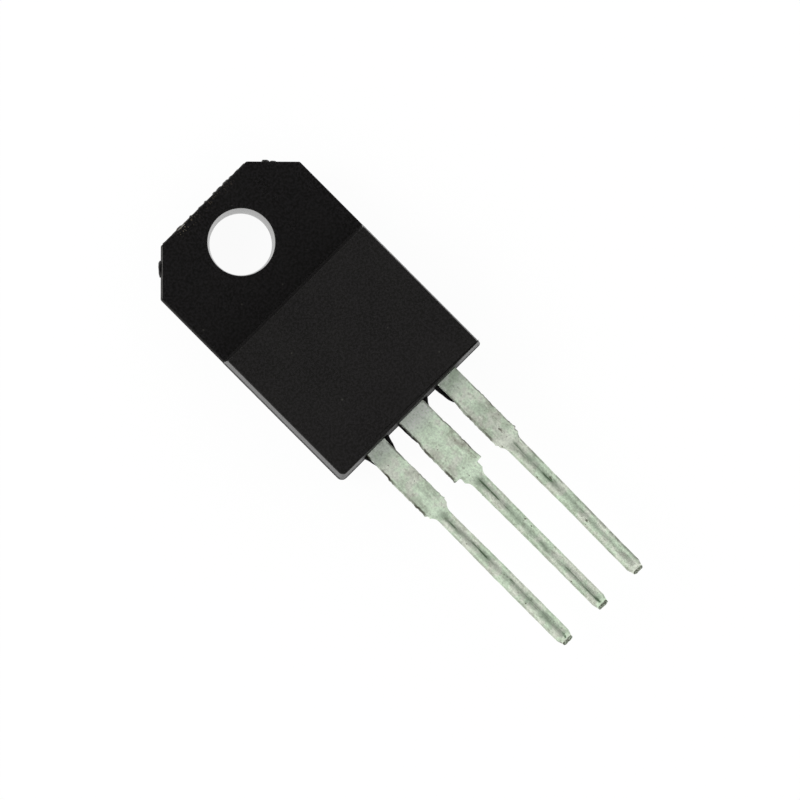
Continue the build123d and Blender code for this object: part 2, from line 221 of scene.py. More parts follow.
class Tree:
    """A node tree with short ways of adding nodes, whose inputs are constants or other nodes' outputs."""

    def __init__(self, data):
        self.data = data

    def give(self, node, inputs):
        """Sets or links inputs of a node."""
        for name, value in inputs.items():
            if is_socket(value):
                self.data.links.new(value, node.inputs[name])
            else:
                node.inputs[name].default_value = value

    def put(self, kind, inputs=None, **settings):
        """Adds a node, sets its settings, and sets or links its inputs."""
        made = self.data.nodes.new(kind)
        for name, value in settings.items():
            setattr(made, name, value)
        self.give(made, inputs or {})
        return made

    def maths(self, operation, first, second=0.0, third=0.0, clamp=False):
        inputs = {0: first, 1: second, 2: third}
        return self.put("ShaderNodeMath", inputs, operation=operation, use_clamp=clamp).outputs[0]

    def times(self, first, second, clamp=False):
        return self.maths("MULTIPLY", first, second, clamp=clamp)

    def scaled(self, value, factor, offset, clamp=False):
        return self.maths("MULTIPLY_ADD", value, factor, offset, clamp)

    def ramp(self, value, low, high, to_low=0.0, to_high=1.0):
        """A smooth step of a value between two limits."""
        limits = {"Value": value, "From Min": low, "From Max": high, "To Min": to_low, "To Max": to_high}
        return self.put("ShaderNodeMapRange", limits, interpolation_type="SMOOTHSTEP").outputs[0]

    def blend(self, factor, first, second, kind="MIX"):
        """A blend of two colours."""
        first, second = (value if is_socket(value) else (*value, 1) for value in (first, second))
        inputs = {0: factor, 6: first, 7: second}
        return self.put("ShaderNodeMix", inputs, data_type="RGBA", blend_type=kind).outputs[2]

    def noise(self, vector, scale, detail=2.0, roughness=0.5):
        inputs = {"Vector": vector, "Scale": scale, "Detail": detail, "Roughness": roughness}
        return self.put("ShaderNodeTexNoise", inputs).outputs[0]

    def cells(self, vector, scale):
        """The distance to the nearest of many scattered points, in cells."""
        return self.put(
            "ShaderNodeTexVoronoi", {"Vector": vector, "Scale": scale}, feature="F1"
        ).outputs["Distance"]

    def stretched(self, vector, scale):
        """A vector scaled separately along each axis."""
        return self.put("ShaderNodeMapping", {"Vector": vector, "Scale": scale}).outputs[0]

    def axes(self, vector):
        """The X, Y and Z of a vector."""
        return self.put("ShaderNodeSeparateXYZ", {0: vector}).outputs

    def attribute(self, name):
        return self.put("ShaderNodeAttribute", attribute_name=name).outputs["Fac"]

    def effect(self, group, inputs):
        """The outputs of a node group."""
        return self.put("ShaderNodeGroup", inputs, node_tree=group).outputs

    def bump(self, shader, height, distance):
        made = self.put("ShaderNodeBump", {"Height": height, "Distance": distance, "Strength": 1.0})
        self.give(shader, {"Normal": made.outputs[0]})

    def dressed(self, geometry, given, result):
        """Ends a geometry tree: gives the geometry its material and hands it out."""
        inputs = {"Geometry": geometry, "Material": given["Material"]}
        self.give(result, {0: self.put("GeometryNodeSetMaterial", inputs).outputs[0]})


def new_tree(name, kind, inputs, outputs):
    """A node tree with named inputs and outputs: the tree, its given inputs and its output node.

    An input is written as its default, or as its kind where it has none."""
    data = bpy.data.node_groups.new(name, kind)
    for direction, sockets in (("INPUT", inputs), ("OUTPUT", outputs)):
        for socket_name, value in sockets.items():
            socket_kind = value if isinstance(value, str) else {int: "Int", float: "Float"}[type(value)]
            socket = data.interface.new_socket(
                name=socket_name, in_out=direction, socket_type="NodeSocket" + socket_kind
            )
            if value != socket_kind:
                socket.default_value = value
    return Tree(data), data.nodes.new("NodeGroupInput").outputs, data.nodes.new("NodeGroupOutput")


def grain_group():
    """Matte spark-eroded grain: a height, a mask of flecks of filler, and soft clouds."""
    tree, given, result = new_tree(
        "moulded_grain", "ShaderNodeTree",
        {"Vector": "Vector", "Grain Size": 0.00009, "Fleck Share": 0.1},
        {"Height": "Float", "Flecks": "Float", "Cloud": "Float"},
    )
    vector = given["Vector"]
    scale = tree.maths("DIVIDE", 1.0, given["Grain Size"])
    coarse = tree.noise(vector, scale, 2.0, 0.6)
    fine = tree.noise(vector, tree.times(scale, 2.7), 1.0)
    cells = tree.cells(vector, tree.times(scale, 0.55))
    tree.give(result, {
        "Height": tree.maths("ADD", tree.times(coarse, 0.7), tree.times(fine, 0.3)),
        "Flecks": tree.maths("LESS_THAN", cells, given["Fleck Share"]),
        "Cloud": tree.noise(vector, tree.times(scale, 0.06), 3.0),
    })
    return tree.data


def mottle_group():
    """Uneven metal: soft patches, small pits and fine drawn lines along Y."""
    tree, given, result = new_tree(
        "metal_mottle", "ShaderNodeTree",
        {"Vector": "Vector", "Patch Size": 0.00025, "Pit Size": 0.0003, "Pit Share": 0.16},
        {"Patches": "Float", "Pits": "Float", "Lines": "Float", "Height": "Float"},
    )
    vector = given["Vector"]
    patch_scale = tree.maths("DIVIDE", 1.0, given["Patch Size"])
    patches = tree.noise(vector, patch_scale, 5.0, 0.62)
    cells = tree.cells(vector, tree.maths("DIVIDE", 1.0, given["Pit Size"]))
    size = tree.times(given["Pit Share"], tree.noise(vector, tree.times(patch_scale, 0.35), 1.0))
    torn = tree.noise(vector, tree.times(patch_scale, 7.0))
    pits = tree.ramp(tree.times(cells, tree.scaled(torn, 2.4, -0.2)), size, tree.times(size, 0.5))
    lines = tree.noise(tree.stretched(vector, (1.0, 0.09, 1.0)), 14000.0, 3.0, 0.6)
    height = tree.maths("SUBTRACT", tree.maths("ADD", patches, tree.times(lines, 0.3)), pits)
    tree.give(result, {"Patches": patches, "Pits": pits, "Lines": lines, "Height": height})
    return tree.data


# ---- Materials ----
def shared(name, make):
    """A material or node group by name, made the first time it is asked for."""
    for store in (bpy.data.materials, bpy.data.node_groups):
        if name in store:
            return store[name]
    return make()


def rectifier():
    return bpy.context.scene.rectifier_case, bpy.context.scene.rectifier_leads


def grain():
    return shared("moulded_grain", grain_group)


def mottle():
    return shared("metal_mottle", mottle_group)


def start_material(name):
    """A material, its tree, its Principled shader and its Object coordinates."""
    material = bpy.data.materials.new(name)
    material.use_nodes = True
    tree = Tree(material.node_tree)
    shader = material.node_tree.nodes["Principled BSDF"]
    return material, tree, shader, tree.put("ShaderNodeTexCoord").outputs["Object"]


def epoxy_material(case, leads):
    """Black moulding epoxy: a grained block, a smoother tab, and brown resin dust at the gate."""
    material, tree, shader, place = start_material("black_moulding_epoxy")
    x, y, z = tree.axes(place)
    aside = tree.maths("ABSOLUTE", x)
    texture = tree.effect(grain(), {"Vector": place, "Grain Size": case.grain_size, "Fleck Share": 0.13})
    block = tree.ramp(y, case.step_y + 0.05 * MM, case.step_y - 0.25 * MM)

    # Grain, flecks of filler and clouds, with a few larger flecks
    grains = tree.ramp(texture["Height"], 0.42, 0.58)
    coat = tree.blend(grains, shade(case.epoxy, 0.02), shade(case.epoxy, 2.6))
    flecks = tree.times(texture["Flecks"], tree.scaled(block, 0.5, 0.3))
    coat = tree.blend(flecks, coat, case.epoxy_fleck)
    coat = tree.blend(tree.times(texture["Cloud"], 0.35), coat, shade(case.epoxy, 0.45))
    rare = tree.maths("LESS_THAN", tree.cells(place, 850.0), 0.05)
    coat = tree.blend(rare, coat, shade(case.epoxy_fleck, 1.6))

    # Resin dust at the gate, paler at its left end
    near_gate = tree.times(
        tree.ramp(y, case.end_y - 0.9 * MM, case.end_y - 0.1 * MM), tree.ramp(aside, 2.2 * MM, 1.7 * MM)
    )
    dust_size = tree.times(tree.times(near_gate, tree.noise(place, 2600.0)), 0.55)
    dust_cells = tree.cells(tree.stretched(place, (2.0, 0.8, 1.0)), 6500.0)
    dust = tree.maths("LESS_THAN", dust_cells, dust_size)
    pale = tree.times(tree.ramp(x, -0.6 * MM, -1.5 * MM), tree.ramp(y, 2.1 * MM, 2.5 * MM))
    coat = tree.blend(dust, coat, tree.blend(pale, case.gate_brown, case.gate_pale))

    # Scratches along the left end of the gate, on the front face only
    scratched = tree.times(tree.ramp(x, -1.2 * MM, -1.5 * MM), tree.ramp(y, 2.54 * MM, 2.60 * MM))
    scratched = tree.times(scratched, tree.ramp(y, 2.72 * MM, 2.68 * MM))
    top = case.parting_height
    scratched = tree.times(scratched, tree.ramp(z, top - 0.25 * MM, top - 0.1 * MM))
    scratched = tree.times(tree.times(scratched, near_gate), 0.42)
    scratch_cells = tree.cells(tree.stretched(place, (0.35, 3.2, 1.0)), 5600.0)
    coat = tree.blend(tree.maths("LESS_THAN", scratch_cells, scratched), coat, case.gate_scratch)

    # The polished wall of the screw hole
    from_axis = tree.maths("SQRT", tree.maths("ADD", tree.times(x, x), tree.times(y, y)))
    hole_wall = tree.maths("LESS_THAN", from_axis, case.hole_diameter / 2 + 0.01 * MM)
    coat = tree.blend(tree.times(hole_wall, 0.1), coat, case.gate_pale)

    # The walls of the block are duller low down, and the foot wall shines less, most so among the leads
    low_wall = tree.ramp(z, case.parting_height + 0.75 * MM, case.parting_height + 0.15 * MM)
    low_wall = tree.times(low_wall, tree.maths("GREATER_THAN", z, case.parting_height - 0.1 * MM))
    foot_wall = tree.ramp(y, case.foot_y + 0.30 * MM, case.foot_y + 0.16 * MM)
    among_leads = tree.times(tree.ramp(aside, leads.pitch + 1.2 * MM, leads.pitch + 0.5 * MM), foot_wall)
    dulled = tree.times(tree.times(tree.times(low_wall, block), 0.46), tree.scaled(foot_wall, -1.0, 1.0))
    dulled = tree.scaled(among_leads, 0.14, dulled)
    roughness = tree.maths(
        "ADD", tree.scaled(block, 0.11, 0.24), tree.scaled(texture["Cloud"], 0.10, tree.times(dust, 0.2))
    )
    roughness = tree.times(roughness, tree.scaled(hole_wall, -0.32, 1.0))
    tree.give(shader, {
        "Base Color": coat,
        "Roughness": tree.maths("ADD", roughness, dulled),
        "Specular IOR Level": tree.scaled(among_leads, -0.11, tree.scaled(foot_wall, -0.24, 0.42)),
        "Specular Tint": (1.0, 0.97, 0.92, 1),
    })
    height = tree.times(texture["Height"], tree.scaled(block, 0.85, 0.15))
    tree.bump(shader, tree.scaled(dust, 0.8, height), 0.00001)
    return material


def tin_material(case, leads):
    """Solder-dipped tin over stamped copper, with tarnish and painted shade along its stamped edges, painted
    shade on the flanks and a painted dark reflection down the crest of the narrow part, and torn cut ends.
    """
    material, tree, shader, place = start_material("solder_dipped_tin")
    sheared, cut_end, rooted, streak, tarnished, clean = (tree.attribute(name) for name in MASKS)
    x, y, _ = tree.axes(place)
    drawn_place = tree.stretched(place, (1.0, 0.5, 1.0))
    rough_zone = tree.maths("SUBTRACT", 1.0, rooted, clamp=True)
    mottled = tree.effect(
        mottle(), {"Vector": drawn_place, "Patch Size": 0.00042, "Pit Size": 0.0007, "Pit Share": 0.22}
    )

    # The coat: bright and dull patches, greyer ones, and a smooth root that is brightest at the centre lead
    bright = tree.scaled(clean, 0.55, tree.ramp(mottled["Patches"], 0.30, 0.72), clamp=True)
    coat = tree.blend(bright, shade(leads.tin, 0.70), leads.tin)
    greyed = tree.ramp(tree.noise(place, 1100.0, 3.0, 0.6), 0.42, 0.60)
    coat = tree.blend(tree.times(greyed, 0.75), coat, leads.tin_grey)
    root = tree.blend(greyed, leads.root_grey, shade(leads.tin, 0.9))
    centre = tree.ramp(tree.maths("ABSOLUTE", x), 1.35 * MM, 1.25 * MM)
    root = tree.blend(centre, root, shade(leads.root_grey, 1.09))
    coat = tree.blend(rooted, coat, root)
    speckle = tree.noise(place, 9000.0, 3.0, 0.65)
    lined = tree.scaled(mottled["Lines"], 0.24, tree.scaled(speckle, 0.95, 0.40))
    grey = tree.put("ShaderNodeCombineColor", {0: lined, 1: lined, 2: lined}).outputs[0]
    coat = tree.blend(1.0, coat, grey, "MULTIPLY")

    # Tarnish: rare patches, small dirty spots, smears beside the edges, and pits. On the narrow part the
    # smears are painted shade, heavier on the left flank.
    brown_patch = tree.ramp(tree.noise(place, 1500.0, 4.0, 0.7), 0.56, 0.72)
    brown = tree.times(brown_patch, tree.times(rough_zone, 0.22))
    dirty = tree.ramp(tree.noise(drawn_place, 5200.0, 3.0, 0.7), 0.57, 0.66)
    brown = tree.maths("MAXIMUM", brown, tree.times(dirty, 0.3))
    smeared = tree.ramp(tree.noise(tree.stretched(place, (1.0, 0.6, 1.0)), 3600.0, 4.0, 0.7), 0.30, 0.66)
    brown = tree.maths("ADD", brown, tree.times(tarnished, smeared), clamp=True)
    coat = tree.blend(brown, coat, leads.tarnish)
    pits = tree.times(mottled["Pits"], tree.scaled(rough_zone, 0.75, 0.1))
    coat = tree.blend(pits, coat, shade(leads.tarnish, 0.55))

    # Painted dark reflection of the dim overhead down the crest of the narrow part, broken up by drawn lines
    drawn = tree.ramp(mottled["Lines"], 0.38, 0.62, 0.25, 1.15)
    coat = tree.blend(tree.times(streak, drawn, clamp=True), coat, leads.crest_reflection_grey)

    # Dark stamped edges, partly bare metal and partly painted shade, with a band of painted shade along the
    # top beside each edge, and torn cut ends
    edge = tree.times(sheared, tree.ramp(tree.noise(place, 2500.0, 3.0), 0.28, 0.50))
    coat = tree.blend(edge, coat, shade(leads.tarnish, 0.3))
    bitten = tree.noise(place, 10000.0, 3.0, 0.7)
    cut_end = tree.ramp(tree.scaled(tree.maths("SUBTRACT", bitten, 0.5), 2.6, cut_end), 0.60, 0.88)
    torn_end = tree.blend(tree.ramp(bitten, 0.50, 0.59), shade(leads.tarnish, 0.35), shade(leads.tin, 0.6))
    coat = tree.blend(cut_end, coat, torn_end)

    bare = tree.maths("MAXIMUM", edge, cut_end)
    neck_y = case.foot_y - leads.neck_base_length
    metal = tree.scaled(tree.ramp(y, neck_y, neck_y - 0.5 * MM), 0.38, 0.58)
    metal = tree.maths("SUBTRACT", metal, tree.times(clean, 0.13))
    metal = tree.maths("SUBTRACT", metal, tree.times(pits, 0.4), clamp=True)
    roughness = tree.maths(
        "ADD", tree.scaled(rough_zone, 0.06, 0.40),
        tree.scaled(mottled["Patches"], 0.14, tree.times(cut_end, 0.2)),
    )
    tree.give(shader, {
        "Base Color": coat,
        "Metallic": tree.times(metal, tree.maths("SUBTRACT", 1.0, bare)),
        "Roughness": roughness,
        "Specular IOR Level": tree.scaled(bare, -0.45, 0.5),
    })
    tree.bump(shader, tree.times(mottled["Height"], tree.scaled(rough_zone, 0.8, 0.2)), 0.000022)
    return material


def metal_material(name, bright, dark, roughness, patch, pit_share, depth):
    """Bare metal with patches, pits and drawn lines."""
    material, tree, shader, place = start_material(name)
    surface = tree.effect(
        mottle(), {"Vector": place, "Patch Size": patch, "Pit Size": patch * 1.2, "Pit Share": pit_share}
    )
    coat = tree.blend(tree.ramp(surface["Patches"], 0.35, 0.65), dark, bright)
    tree.give(shader, {
        "Base Color": tree.blend(surface["Pits"], coat, shade(dark, 0.4)),
        "Roughness": tree.scaled(surface["Lines"], 0.25, roughness),
        "Metallic": 1.0,
    })
    tree.bump(shader, surface["Height"], depth)
    return material


def silicon_material():
    """A sawn silicon chip: dark glossy sides and a fine-grained metal top."""
    material, tree, shader, place = start_material("silicon_chip")
    _, _, up = tree.axes(tree.put("ShaderNodeNewGeometry").outputs["Normal"])
    top = tree.ramp(up, 0.7, 0.9)
    texture = tree.effect(grain(), {"Vector": place, "Grain Size": 0.00006, "Fleck Share": 0.12})
    saw_lines = tree.noise(tree.stretched(place, (1.0, 1.0, 0.05)), 22000.0)
    sides = tree.blend(saw_lines, (0.05, 0.055, 0.07), (0.11, 0.12, 0.15))
    metal_top = tree.blend(texture["Height"], (0.42, 0.42, 0.41), (0.66, 0.66, 0.64))
    tree.give(shader, {
        "Base Color": tree.blend(top, sides, metal_top),
        "Metallic": tree.times(top, 0.9),
        "Roughness": tree.scaled(texture["Height"], 0.3, 0.2),
    })
    tree.bump(shader, texture["Height"], 0.000004)
    return material


def flux_material(leads):
    """Dull brown flux with a varied colour."""
    material, tree, shader, place = start_material("flux_residue")
    spots = tree.noise(place, 9000.0, 3.0)
    tree.give(shader, {
        "Base Color": tree.blend(spots, shade(leads.tarnish, 0.25), leads.tarnish),
        "Roughness": tree.scaled(spots, 0.4, 0.4),
    })
    tree.bump(shader, spots, 0.000006)
    return material


def epoxy():
    return shared("black_moulding_epoxy", lambda: epoxy_material(*rectifier()))


def bare_copper():
    bright = rectifier()[1].copper
    return shared(
        "bare_copper",
        lambda: metal_material(
            "bare_copper", bright, shade(bright, 0.55), roughness=0.25, patch=0.0004, pit_share=0.2,
            depth=0.000008,
        ),
    )


# ---- Meshes ----
@contextmanager
def editing(mesh):
    """The mesh as an editable shape, written back at the end."""
    shape = bmesh.new()
    shape.from_mesh(mesh)
    yield shape
    shape.to_mesh(mesh)
    shape.free()


def mesh_of(shape, name):
    """Ends a shape and returns its mesh."""
    mesh = bpy.data.meshes.new(name)
    shape.to_mesh(mesh)
    shape.free()
    return mesh


def placed(name, data):
    """An object at the origin, in the scene."""
    piece = bpy.data.objects.new(name, data)
    bpy.context.scene.collection.objects.link(piece)
    return piece


def shaded(piece, smooth):
    for polygon in piece.data.polygons:
        polygon.use_smooth = smooth


def finished(name, vertices, faces, materials, smooth=True):
    """An object from points in millimetres."""
    mesh = bpy.data.meshes.new(name)
    mesh.from_pydata([Vector(point) * MM for point in vertices], [], faces)
    for material in materials:
        mesh.materials.append(material)
    mesh.update()
    piece = placed(name, mesh)
    shaded(piece, smooth)
    return piece


def recalculated(piece):
    """Turns the faces of a closed mesh outwards."""
    with editing(piece.data) as shape:
        bmesh.ops.recalc_face_normals(shape, faces=shape.faces)


def baked(piece):
    """Turns a piece's modifiers into its plain mesh."""
    graph = bpy.context.evaluated_depsgraph_get()
    mesh = bpy.data.meshes.new_from_object(piece.evaluated_get(graph), depsgraph=graph)
    piece.modifiers.clear()
    old = piece.data
    piece.data = mesh
    mesh.name = piece.name
    bpy.data.meshes.remove(old)


def case_outline(case, inset, upper=False):
    """The case seen from the front, in millimetres, anticlockwise from the left foot corner.

    The lower outline goes round the tab too. The upper one closes at the step."""
    inset += case.flash_height / MM
    half = CASE_HIGH.x / MM - inset
    foot = case.foot_y / MM + inset
    points = []
    corners = [(-half, foot, case.left_foot_radius / MM, 180), (half, foot, case.right_foot_radius / MM, 270)]
    for x, y, radius, start in corners:
        centre_x = x + radius if x < 0 else x - radius
        centre_y = y + radius
        for step in range(CORNER_POINTS):
            turn = math.radians(start + CORNER_STEP * step)
            points.append((centre_x + radius * math.cos(turn), centre_y + radius * math.sin(turn)))
    if upper:
        back = case.step_y / MM - inset
        return points + [(half, back), (-half, back)]
    back = case.end_y / MM - inset
    cut = case.corner_cut / MM
    step = case.step_y / MM
    points += [(half, step), (half, back - cut), (half - cut, back)]
    return points + [(-half + cut, back), (-half, back - cut), (-half, step)]


def case_shape(case):
    """The moulded case as a closed cage: back face, parting plane and front face."""
    parting = case.parting_height / MM
    height = CASE_HIGH.z / MM
    low = case_outline(case, parting * math.tan(case.back_draft))
    middle = case_outline(case, 0)
    high = case_outline(case, (height - parting) * math.tan(case.front_draft), upper=True)
    shape = bmesh.new()
    back, waist, front = (
        [shape.verts.new((x * MM, y * MM, z * MM)) for x, y in outline]
        for outline, z in ((low, 0.0), (middle, parting), (high, height))
    )
    count = len(middle)
    for index in range(count):
        after = (index + 1) % count
        shape.faces.new((back[index], back[after], waist[after], waist[index]))
    shape.faces.new(list(reversed(back)))
    right_step, left_step = 2 * CORNER_POINTS, count - 1
    shape.faces.new(waist[right_step:])
    for index in range(right_step):
        shape.faces.new((waist[index], waist[index + 1], front[index + 1], front[index]))
    shape.faces.new((waist[left_step], waist[0], front[0], front[-1]))
    shape.faces.new((waist[right_step], waist[left_step], front[-1], front[right_step]))
    shape.faces.new(front)
    return shape


def turned_cutter(name, profile, x=0.0, y=0.0, sides=HOLE_SIDES):
    """A turned solid that cuts a hole, from (height, radius) pairs."""
    shape = bmesh.new()
    turns = [2 * math.pi * step / sides for step in range(sides)]
    rings = [
        [shape.verts.new((x + radius * math.cos(turn), y + radius * math.sin(turn), z)) for turn in turns]
        for z, radius in profile
    ]
    for lower, upper in zip(rings, rings[1:]):
        for step in range(sides):
            after = (step + 1) % sides
            shape.faces.new((lower[step], lower[after], upper[after], upper[step]))
    shape.faces.new(list(reversed(rings[0])))
    shape.faces.new(rings[-1])
    return placed(name, mesh_of(shape, name))


def edge_weight(edge, case):
    """How strongly an edge is rounded: most round the tab, less elsewhere, least along the step."""
    touching, at_step = 1e-6, 1e-5
    low = min(corner.co.z for corner in edge.verts)
    middle = (edge.verts[0].co + edge.verts[1].co) / 2
    on_right = middle.x > CASE_HIGH.x - MM
    if low > CASE_HIGH.z - touching:
        return 0.05 if middle.y > case.step_y - MM else 0.12 if on_right else 0.3
    if low > case.parting_height - touching and middle.y > case.step_y + at_step:
        at_hole = math.hypot(middle.x, middle.y) < case.hole_diameter
        return 0.15 if at_hole or on_right else 1.0
    at_step_foot = low > case.parting_height - touching and abs(middle.y - case.step_y) < at_step
    return 0.02 if at_step_foot else 0.3


def weigh_edges(mesh, case):
    """Merges the flat faces of the cut case and writes how strongly each sharp edge is rounded."""
    with editing(mesh) as shape:
        bmesh.ops.dissolve_limit(
            shape, angle_limit=math.radians(0.5), verts=shape.verts, edges=shape.edges
        )
        layer = shape.edges.layers.float.new("bevel_weight_edge")
        sharp = math.radians(20)
        for edge in shape.edges:
            if len(edge.link_faces) == 2 and edge.calc_face_angle(0) >= sharp:
                edge[layer] = edge_weight(edge, case)


def outline_strip(case):
    """The line of the flash round the block, as points in millimetres."""
    foot_points = 2 * CORNER_POINTS
    outline = case_outline(case, 1.4 * case.flash_height / MM)
    foot = [(x, y - 1.3 * case.flash_height / MM) for x, y in outline[:foot_points]]
    return [outline[-1]] + foot + [outline[foot_points]]


# ---- Geometry node trees ----
def grow(piece, tree, inputs):
    """Runs a geometry node tree on a piece and keeps its result as the piece's plain mesh."""
    modifier = piece.modifiers.new(tree.name, "NODES")
    modifier.node_group = tree
    for item in tree.interface.items_tree:
        if item.item_type == "SOCKET" and item.in_out == "INPUT" and item.name in inputs:
            modifier[item.identifier] = inputs[item.name]
    baked(piece)


def flash_tree():
    """A ragged ridge that follows a line."""
    tree, given, result = new_tree(
        "flash_along_line", "GeometryNodeTree",
        {
            "Geometry": "Geometry", "Height": 0.00002, "Spacing": 0.00008, "Unevenness": 0.5, "Seed": 3.0,
            "Material": "Material",
        },
        {"Geometry": "Geometry"},
    )
    curve = tree.put("GeometryNodeMeshToCurve", {"Mesh": given["Geometry"]}).outputs[0]
    even = tree.put("GeometryNodeResampleCurve", {"Curve": curve, "Length": given["Spacing"]}, mode="LENGTH")
    place = tree.put("GeometryNodeInputPosition").outputs[0]
    uneven = tree.put(
        "ShaderNodeTexNoise", {"Vector": place, "W": given["Seed"], "Scale": 3200.0, "Detail": 3.0},
        noise_dimensions="4D",
    )
    swing = tree.scaled(tree.scaled(uneven.outputs[0], 2.0, -1.0), given["Unevenness"], 1.0)
    line = tree.put("GeometryNodeSetCurveRadius", {"Curve": even.outputs[0], "Radius": swing}).outputs[0]
    ridge = tree.put(
        "GeometryNodeCurvePrimitiveCircle", {"Resolution": 6, "Radius": given["Height"]}, mode="RADIUS"
    )
    swept = tree.put(
        "GeometryNodeCurveToMesh",
        {"Curve": line, "Profile Curve": ridge.outputs[0], "Scale": swing, "Fill Caps": True},
    )
    solid = tree.put("GeometryNodeRealizeInstances", {"Geometry": swept.outputs[0]}).outputs[0]
    tree.dressed(solid, given, result)
    return tree.data


def speck_tree():
    """Small flattened specks scattered over a surface."""
    tree, given, result = new_tree(
        "specks_on_surface", "GeometryNodeTree",
        {
            "Geometry": "Geometry", "Density": 5.0, "Smallest": 0.000015, "Largest": 0.00004, "Seed": 5,
            "Material": "Material",
        },
        {"Geometry": "Geometry"},
    )
    points = tree.put(
        "GeometryNodeDistributePointsOnFaces",
        {"Mesh": given["Geometry"], "Density": given["Density"], "Seed": given["Seed"]},
    ).outputs
    speck = tree.put("GeometryNodeMeshIcoSphere", {"Radius": 1.0, "Subdivisions": 2}).outputs[0]
    size = tree.put(
        "FunctionNodeRandomValue", {2: given["Smallest"], 3: given["Largest"], 8: given["Seed"]},
        data_type="FLOAT",
    ).outputs[1]
    shape = tree.put(
        "FunctionNodeRandomValue", {0: (0.6, 0.6, 0.25), 1: (1.4, 1.4, 0.55), 8: 17},
        data_type="FLOAT_VECTOR",
    ).outputs[0]
    scale = tree.put("ShaderNodeVectorMath", {0: shape, "Scale": size}, operation="SCALE").outputs[0]
    placed_specks = tree.put(
        "GeometryNodeInstanceOnPoints",
        {"Points": points["Points"], "Instance": speck, "Rotation": points["Rotation"], "Scale": scale},
    )
    solid = tree.put("GeometryNodeRealizeInstances", {"Geometry": placed_specks.outputs[0]}).outputs[0]
    place = tree.put("GeometryNodeInputPosition").outputs[0]
    uneven = tree.put("ShaderNodeTexNoise", {"Vector": place, "Scale": 26000.0, "Detail": 1.0}).outputs[1]
    swing = tree.put("ShaderNodeVectorMath", {0: uneven, 1: (0.5, 0.5, 0.5)}, operation="SUBTRACT").outputs[0]
    push = tree.put(
        "ShaderNodeVectorMath", {0: swing, "Scale": tree.times(given["Largest"], 1.6)}, operation="SCALE"
    ).outputs[0]
    torn = tree.put("GeometryNodeSetPosition", {"Geometry": solid, "Offset": push}).outputs[0]
    tree.dressed(torn, given, result)
    return tree.data


# ---- Leads ----
def smooth(value, low, high):
    """A smooth step from 0 at the low limit to 1 at the high one."""
    share = min(max((value - low) / (high - low), 0.0), 1.0)
    return share * share * (3 - 2 * share)


def wander(seed, spacing, places):
    """Smooth noise from -1 to 1 along a length, with one value for each spacing."""
    count = 4000
    places = np.asarray(places, float)
    knots = np.random.RandomState(seed).uniform(-1, 1, count)
    steps = places / spacing + count // 2
    low = np.floor(steps).astype(int)
    share = steps - low
    share = share * share * (3 - 2 * share)
    return knots[low] * (1 - share) + knots[low + 1] * share


def lead_edge(leads, case, facts):
    """Mean edge of a lead: (distance along -Y from the case, half width) in millimetres."""
    centre = facts["place"] == 0
    root = (leads.centre_root_width if centre else leads.outer_root_width) / 2 / MM
    stub = (leads.centre_stub_width if centre else leads.outer_stub_width) / 2 / MM
    shoulder = (leads.centre_shoulder if centre else leads.outer_shoulder) / MM
    base = leads.neck_base_width / 2 / MM
    base_end = leads.neck_base_length / MM
    neck_end = base_end + leads.neck_length / MM + 0.1
    narrow, thin = (width / 2 for width in facts["narrow"])
    root_end = leads.root_length / MM
    end = (case.foot_y - LEAD_LOW.y) / MM
    taper_start = end - leads.tip_length / MM
    tip = leads.tip_width / 2 / MM
    points = [(along, root) for along in (-0.35, -0.1, -0.05)]
    for along in np.arange(0.0, shoulder - 0.045, SECTION_SPACING):
        points.append((along, root + (stub - root) * smooth(along, root_end, root_end + 0.3)))
    for turn in (math.radians(part) for part in (0, 30, 60, 90)):
        points.append((shoulder - 0.04 + 0.04 * math.sin(turn), stub - 0.05 + 0.05 * math.cos(turn)))
    points.append((shoulder + 0.012, base + 0.035))
    for along in np.arange(shoulder + 0.04, base_end, SECTION_SPACING):
        points.append((along, base))
    for share in np.linspace(0, 1, 12):
        half = narrow + (base - narrow) * (1 - share) ** 2.6
        points.append((base_end + share * (neck_end - base_end), half))
    for along in np.arange(neck_end + SECTION_SPACING, taper_start, SECTION_SPACING):
        points.append((along, narrow + (thin - narrow) * smooth(along, neck_end, taper_start - 4)))
    for share in np.linspace(0, 1, 14):
        half = thin + (tip - thin) * smooth(share, -0.15, 1)
        points.append((taper_start + share * (end - taper_start), half))
    return points


def section(half_left, half_right, half_height, fullness):
    """One section of a lead, anticlockwise from the right: (x, z, how far the surface faces sideways)."""
    points = []
    for step in range(SECTION_SIDES):
        turn = 2 * math.pi * step / SECTION_SIDES
        x = math.copysign(abs(math.cos(turn)) ** (2 / fullness), math.cos(turn))
        z = math.copysign(abs(math.sin(turn)) ** (2 / fullness), math.sin(turn))
        reach = half_left if x < 0 else half_right
        sideways = abs(x) ** (fullness - 1) / reach
        upward = abs(z) ** (fullness - 1) / half_height
        points.append((x * reach, z * half_height, sideways / math.hypot(sideways, upward)))
    return points


